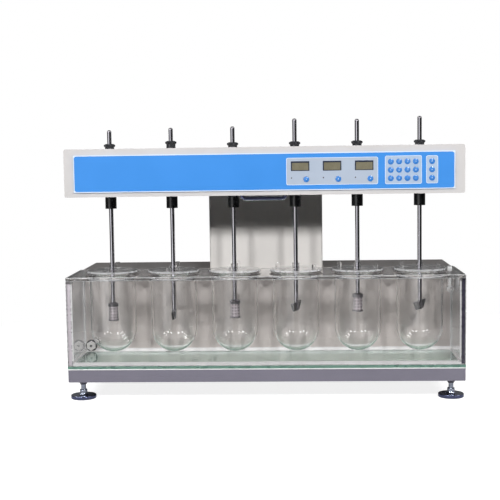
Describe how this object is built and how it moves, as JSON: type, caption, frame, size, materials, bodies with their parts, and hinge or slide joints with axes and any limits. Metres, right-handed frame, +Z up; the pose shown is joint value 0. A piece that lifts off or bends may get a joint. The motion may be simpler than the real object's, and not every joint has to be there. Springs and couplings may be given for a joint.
{
  "type": "dissolution tester",
  "caption": "Bench dissolution tester: clear water bath with round-bottomed vessels under a lifting drive head whose spindles turn basket and paddle stirrers.",
  "frame": {"origin": "middle of the footprint, on the floor under the feet", "axes": "+X along the front to the right, +Y from the front to the back, +Z up"},
  "size_m": [0.9, 0.34, 0.6365],
  "materials": {
    "base_paint": "satin",
    "housing_paint": "satin",
    "guide_steel": "ground",
    "base_glass": "polished",
    "clear_sheet": "polished",
    "vessel_glass": "polished",
    "port_plastic": "moulded",
    "circuit_metal": "cast",
    "foot_chrome": "polished",
    "cream_paint": "satin",
    "deck_metal": "milled",
    "panel_blue": "membrane",
    "display": "clear",
    "handle_chrome": "polished",
    "column_paint": "satin paint",
    "strut_black": "satin",
    "bearing_steel": "ground",
    "motor_grey": "satin",
    "belt_rubber": "matte",
    "pulley_metal": "milled",
    "spindle_black": "satin",
    "stirrer_steel": "polished",
    "lid_clear": "polished",
    "key_blue": "satin"
  },
  "bodies": {
    "frame": {"base_tray": "base_paint", "rear_housing": "housing_paint", "lift_rods": "guide_steel", "tank_base_glass": "base_glass", "tank_walls": "clear_sheet", "vessel_plate": "clear_sheet", "vessels": "vessel_glass", "bath_ports": "port_plastic", "water_circuit": "circuit_metal"},
    "head": {"head_shell": "cream_paint", "head_deck": "deck_metal", "control_panel": "panel_blue", "display_windows": "display", "lift_handle": "handle_chrome", "column": "column_paint", "gas_strut": "strut_black", "spindle_bearings": "bearing_steel", "drive_motor": "motor_grey", "timing_belt": "belt_rubber"},
    "drive": {"drive_pulley": "pulley_metal"},
    "foot_1": {"foot_1": "foot_chrome"},
    "foot_2": {"foot_2": "foot_chrome"},
    "foot_3": {"foot_3": "foot_chrome"},
    "foot_4": {"foot_4": "foot_chrome"},
    "spindle_1": {"spindle_1": "spindle_black"},
    "spindle_2": {"spindle_2": "spindle_black"},
    "spindle_3": {"spindle_3": "spindle_black"},
    "spindle_4": {"spindle_4": "spindle_black"},
    "spindle_5": {"spindle_5": "spindle_black"},
    "spindle_6": {"spindle_6": "spindle_black"},
    "stirrer_1": {"stirrer_1": "stirrer_steel"},
    "stirrer_2": {"stirrer_2": "stirrer_steel"},
    "stirrer_3": {"stirrer_3": "stirrer_steel"},
    "stirrer_4": {"stirrer_4": "stirrer_steel"},
    "stirrer_5": {"stirrer_5": "stirrer_steel"},
    "stirrer_6": {"stirrer_6": "stirrer_steel"},
    "lid_1": {"lid_1": "lid_clear"},
    "lid_2": {"lid_2": "lid_clear"},
    "lid_3": {"lid_3": "lid_clear"},
    "lid_4": {"lid_4": "lid_clear"},
    "lid_5": {"lid_5": "lid_clear"},
    "lid_6": {"lid_6": "lid_clear"},
    "set_key_1": {"set_key_1": "key_blue"},
    "set_key_2": {"set_key_2": "key_blue"},
    "set_key_3": {"set_key_3": "key_blue"},
    "pad_key_1": {"pad_key_1": "key_blue"},
    "pad_key_2": {"pad_key_2": "key_blue"},
    "pad_key_3": {"pad_key_3": "key_blue"},
    "pad_key_4": {"pad_key_4": "key_blue"},
    "pad_key_5": {"pad_key_5": "key_blue"},
    "pad_key_6": {"pad_key_6": "key_blue"},
    "pad_key_7": {"pad_key_7": "key_blue"},
    "pad_key_8": {"pad_key_8": "key_blue"},
    "pad_key_9": {"pad_key_9": "key_blue"},
    "pad_key_10": {"pad_key_10": "key_blue"},
    "pad_key_11": {"pad_key_11": "key_blue"},
    "pad_key_12": {"pad_key_12": "key_blue"},
    "func_key_1": {"func_key_1": "key_blue"},
    "func_key_2": {"func_key_2": "key_blue"},
    "func_key_3": {"func_key_3": "key_blue"}
  },
  "joints": [
    {"name": "head_lift", "type": "slide", "parent": "frame", "child": "head", "axis": [0, 0, 1], "range_m": [0, 0.17]},
    {"name": "foot_1_level", "type": "slide", "parent": "frame", "child": "foot_1", "axis": [0, 0, 1], "range_m": [-0.006, 0.006]},
    {"name": "foot_2_level", "type": "slide", "parent": "frame", "child": "foot_2", "axis": [0, 0, 1], "range_m": [-0.006, 0.006]},
    {"name": "foot_3_level", "type": "slide", "parent": "frame", "child": "foot_3", "axis": [0, 0, 1], "range_m": [-0.006, 0.006]},
    {"name": "foot_4_level", "type": "slide", "parent": "frame", "child": "foot_4", "axis": [0, 0, 1], "range_m": [-0.006, 0.006]},
    {"name": "spindle_1_spin", "type": "hinge", "parent": "head", "child": "spindle_1", "pos_m": [-0.35625, -0.084, 0.5], "axis": [0, 0, 1], "continuous": true},
    {"name": "spindle_2_spin", "type": "hinge", "parent": "head", "child": "spindle_2", "pos_m": [-0.21375, -0.084, 0.5], "axis": [0, 0, 1], "continuous": true},
    {"name": "spindle_3_spin", "type": "hinge", "parent": "head", "child": "spindle_3", "pos_m": [-0.07125, -0.084, 0.5], "axis": [0, 0, 1], "continuous": true},
    {"name": "spindle_4_spin", "type": "hinge", "parent": "head", "child": "spindle_4", "pos_m": [0.07125, -0.084, 0.5], "axis": [0, 0, 1], "continuous": true},
    {"name": "spindle_5_spin", "type": "hinge", "parent": "head", "child": "spindle_5", "pos_m": [0.21375, -0.084, 0.5], "axis": [0, 0, 1], "continuous": true},
    {"name": "spindle_6_spin", "type": "hinge", "parent": "head", "child": "spindle_6", "pos_m": [0.35625, -0.084, 0.5], "axis": [0, 0, 1], "continuous": true},
    {"name": "drive_spin", "type": "hinge", "parent": "head", "child": "drive", "pos_m": [0, -0.084, 0.5], "axis": [0, 0, 1], "continuous": true},
    {"name": "stirrer_1_slide", "type": "slide", "parent": "spindle_1", "child": "stirrer_1", "axis": [0, 0, 1], "range_m": [-0.0455, 0.05]},
    {"name": "stirrer_2_slide", "type": "slide", "parent": "spindle_2", "child": "stirrer_2", "axis": [0, 0, 1], "range_m": [-0.049, 0.05]},
    {"name": "stirrer_3_slide", "type": "slide", "parent": "spindle_3", "child": "stirrer_3", "axis": [0, 0, 1], "range_m": [-0.05, 0.05]},
    {"name": "stirrer_4_slide", "type": "slide", "parent": "spindle_4", "child": "stirrer_4", "axis": [0, 0, 1], "range_m": [-0.066, 0.035]},
    {"name": "stirrer_5_slide", "type": "slide", "parent": "spindle_5", "child": "stirrer_5", "axis": [0, 0, 1], "range_m": [-0.063, 0.035]},
    {"name": "stirrer_6_slide", "type": "slide", "parent": "spindle_6", "child": "stirrer_6", "axis": [0, 0, 1], "range_m": [-0.0675, 0.035]},
    {"name": "lid_1_lift", "type": "slide", "parent": "head", "child": "lid_1", "axis": [0, 0, 1], "range_m": [0, 0.09]},
    {"name": "lid_2_lift", "type": "slide", "parent": "head", "child": "lid_2", "axis": [0, 0, 1], "range_m": [0, 0.09]},
    {"name": "lid_3_lift", "type": "slide", "parent": "head", "child": "lid_3", "axis": [0, 0, 1], "range_m": [0, 0.09]},
    {"name": "lid_4_lift", "type": "slide", "parent": "head", "child": "lid_4", "axis": [0, 0, 1], "range_m": [0, 0.09]},
    {"name": "lid_5_lift", "type": "slide", "parent": "head", "child": "lid_5", "axis": [0, 0, 1], "range_m": [0, 0.09]},
    {"name": "lid_6_lift", "type": "slide", "parent": "head", "child": "lid_6", "axis": [0, 0, 1], "range_m": [0, 0.09]},
    {"name": "set_key_1_press", "type": "slide", "parent": "head", "child": "set_key_1", "axis": [0, 1, 0], "range_m": [0, 0.001], "stiffness_N_per_m": 300},
    {"name": "set_key_2_press", "type": "slide", "parent": "head", "child": "set_key_2", "axis": [0, 1, 0], "range_m": [0, 0.001], "stiffness_N_per_m": 300},
    {"name": "set_key_3_press", "type": "slide", "parent": "head", "child": "set_key_3", "axis": [0, 1, 0], "range_m": [0, 0.001], "stiffness_N_per_m": 300},
    {"name": "pad_key_1_press", "type": "slide", "parent": "head", "child": "pad_key_1", "axis": [0, 1, 0], "range_m": [0, 0.001], "stiffness_N_per_m": 300},
    {"name": "pad_key_2_press", "type": "slide", "parent": "head", "child": "pad_key_2", "axis": [0, 1, 0], "range_m": [0, 0.001], "stiffness_N_per_m": 300},
    {"name": "pad_key_3_press", "type": "slide", "parent": "head", "child": "pad_key_3", "axis": [0, 1, 0], "range_m": [0, 0.001], "stiffness_N_per_m": 300},
    {"name": "pad_key_4_press", "type": "slide", "parent": "head", "child": "pad_key_4", "axis": [0, 1, 0], "range_m": [0, 0.001], "stiffness_N_per_m": 300},
    {"name": "pad_key_5_press", "type": "slide", "parent": "head", "child": "pad_key_5", "axis": [0, 1, 0], "range_m": [0, 0.001], "stiffness_N_per_m": 300},
    {"name": "pad_key_6_press", "type": "slide", "parent": "head", "child": "pad_key_6", "axis": [0, 1, 0], "range_m": [0, 0.001], "stiffness_N_per_m": 300},
    {"name": "pad_key_7_press", "type": "slide", "parent": "head", "child": "pad_key_7", "axis": [0, 1, 0], "range_m": [0, 0.001], "stiffness_N_per_m": 300},
    {"name": "pad_key_8_press", "type": "slide", "parent": "head", "child": "pad_key_8", "axis": [0, 1, 0], "range_m": [0, 0.001], "stiffness_N_per_m": 300},
    {"name": "pad_key_9_press", "type": "slide", "parent": "head", "child": "pad_key_9", "axis": [0, 1, 0], "range_m": [0, 0.001], "stiffness_N_per_m": 300},
    {"name": "pad_key_10_press", "type": "slide", "parent": "head", "child": "pad_key_10", "axis": [0, 1, 0], "range_m": [0, 0.001], "stiffness_N_per_m": 300},
    {"name": "pad_key_11_press", "type": "slide", "parent": "head", "child": "pad_key_11", "axis": [0, 1, 0], "range_m": [0, 0.001], "stiffness_N_per_m": 300},
    {"name": "pad_key_12_press", "type": "slide", "parent": "head", "child": "pad_key_12", "axis": [0, 1, 0], "range_m": [0, 0.001], "stiffness_N_per_m": 300},
    {"name": "func_key_1_press", "type": "slide", "parent": "head", "child": "func_key_1", "axis": [0, 1, 0], "range_m": [0, 0.001], "stiffness_N_per_m": 300},
    {"name": "func_key_2_press", "type": "slide", "parent": "head", "child": "func_key_2", "axis": [0, 1, 0], "range_m": [0, 0.001], "stiffness_N_per_m": 300},
    {"name": "func_key_3_press", "type": "slide", "parent": "head", "child": "func_key_3", "axis": [0, 1, 0], "range_m": [0, 0.001], "stiffness_N_per_m": 300}
  ],
  "couplings": [
    {"joint": "spindle_2_spin", "follows": "spindle_1_spin", "ratio": 1},
    {"joint": "spindle_3_spin", "follows": "spindle_1_spin", "ratio": 1},
    {"joint": "spindle_4_spin", "follows": "spindle_1_spin", "ratio": 1},
    {"joint": "spindle_5_spin", "follows": "spindle_1_spin", "ratio": 1},
    {"joint": "spindle_6_spin", "follows": "spindle_1_spin", "ratio": 1},
    {"joint": "drive_spin", "follows": "spindle_1_spin", "ratio": 1}
  ]
}
